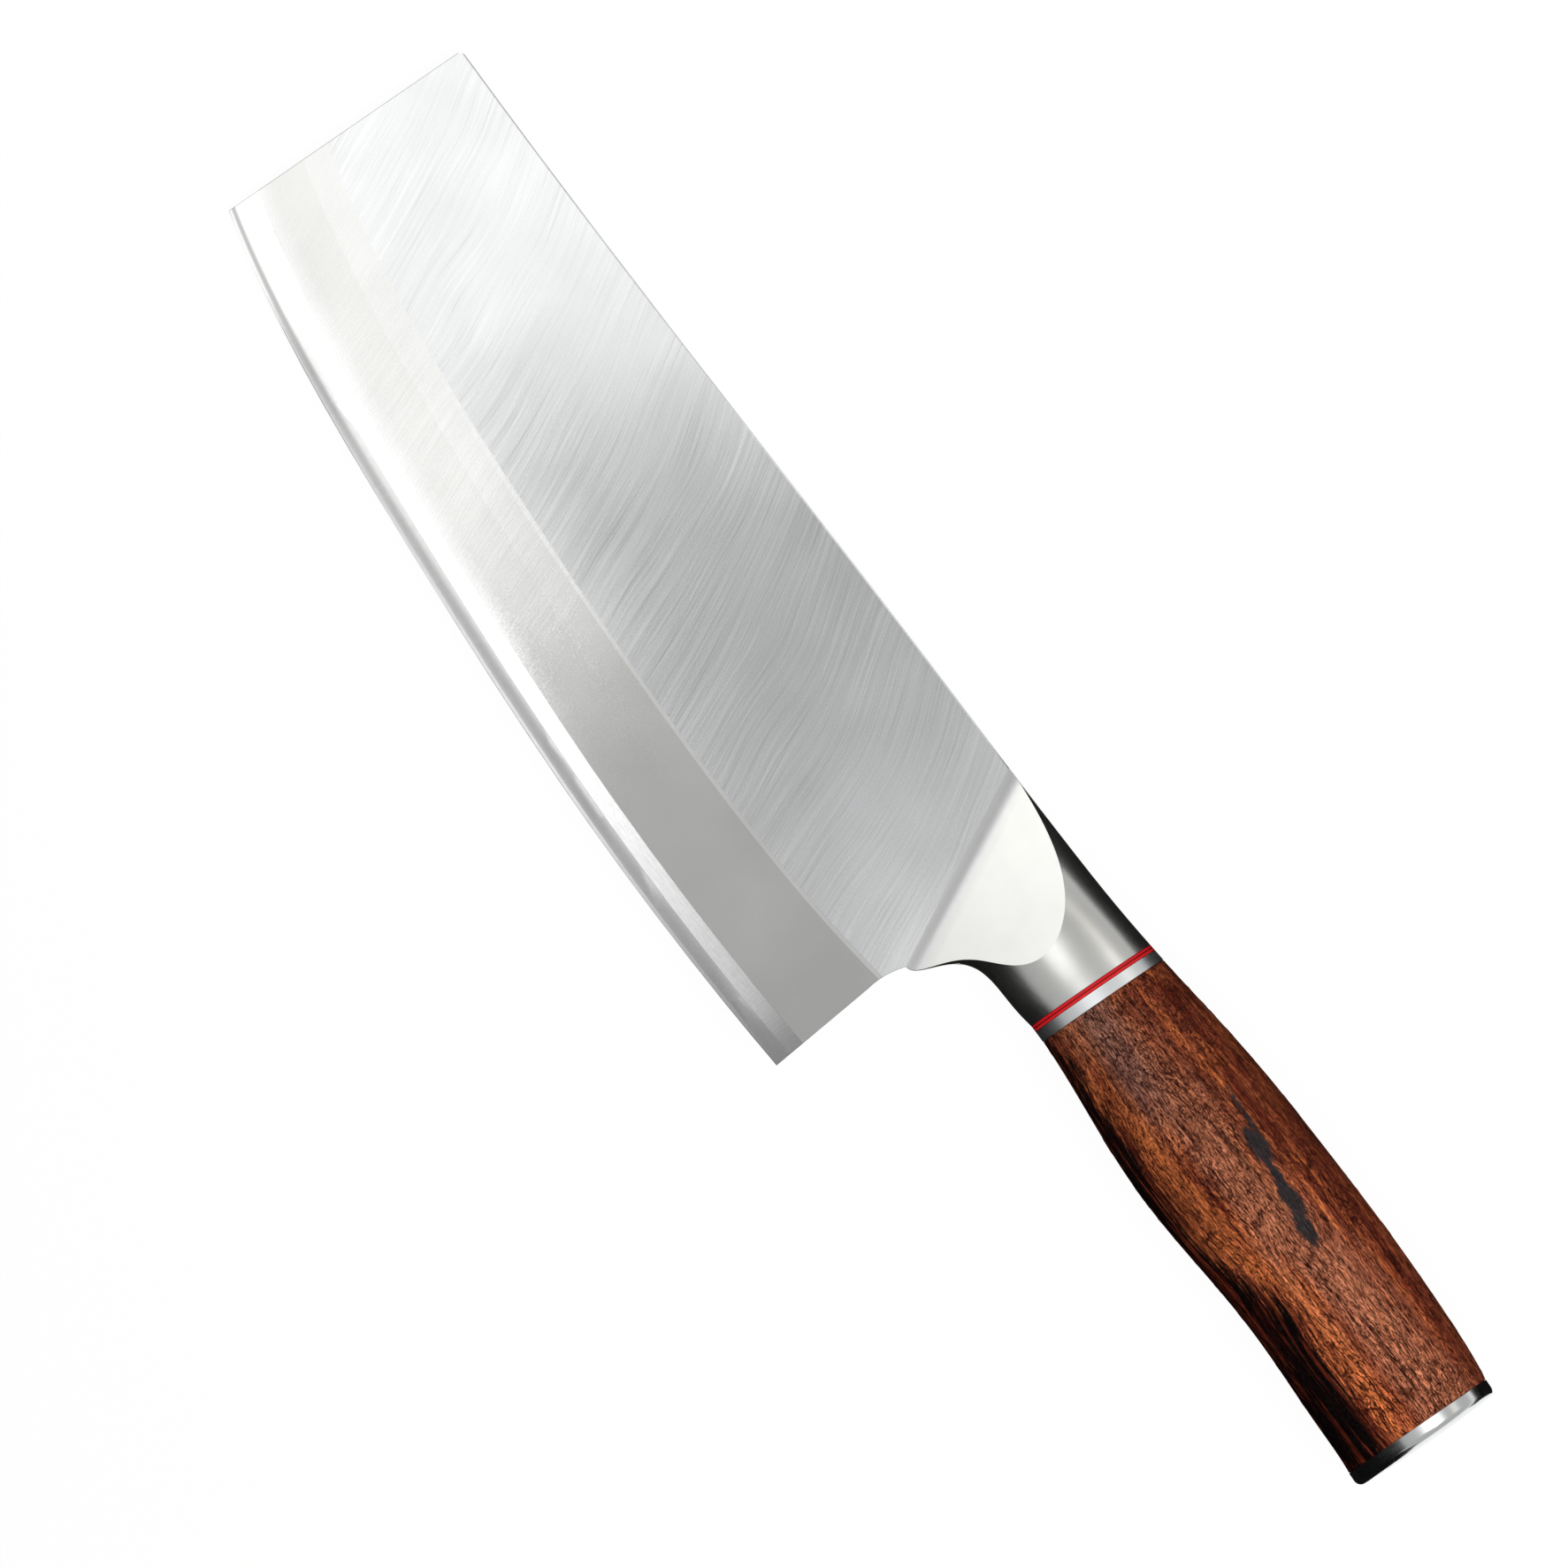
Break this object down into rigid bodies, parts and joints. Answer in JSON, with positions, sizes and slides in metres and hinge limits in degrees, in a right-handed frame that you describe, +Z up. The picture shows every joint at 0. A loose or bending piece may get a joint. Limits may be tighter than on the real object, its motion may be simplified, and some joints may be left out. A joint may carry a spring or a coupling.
{
  "type": "chinese cleaver",
  "caption": "Kitchen cleaver with a broad three-layer blade, ground steel bolster, red and steel spacer rings, shaped wooden grip and steel end cap, lying on its side.",
  "frame": {"origin": "centre of the bounding box on the table that the knife lies on", "axes": "+X from the blade's tip to the butt of the grip, +Y from the edge to the spine, +Z up, out of the blade's left flat; the blade dips towards the tip by about 3 degrees, as the knife lies"},
  "size_m": [0.3208, 0.0814, 0.0303],
  "materials": {
    "edge_steel": "polished",
    "cladding_steel": "brushed flat, satin bevel",
    "polished_steel": "polished",
    "red_spacer": "gloss",
    "grip_wood": "oiled, open pores",
    "tang_steel": "machined"
  },
  "bodies": {
    "root": {"core_steel": "edge_steel", "cladding_left": "cladding_steel", "cladding_right": "cladding_steel", "bolster": "polished_steel", "spacer_red_front": "red_spacer", "spacer_red_rear": "red_spacer", "spacer_steel": "polished_steel", "grip": "grip_wood", "end_cap": "polished_steel", "tang": "tang_steel", "tang_washer": "tang_steel", "tang_nut": "tang_steel"}
  },
  "joints": []
}
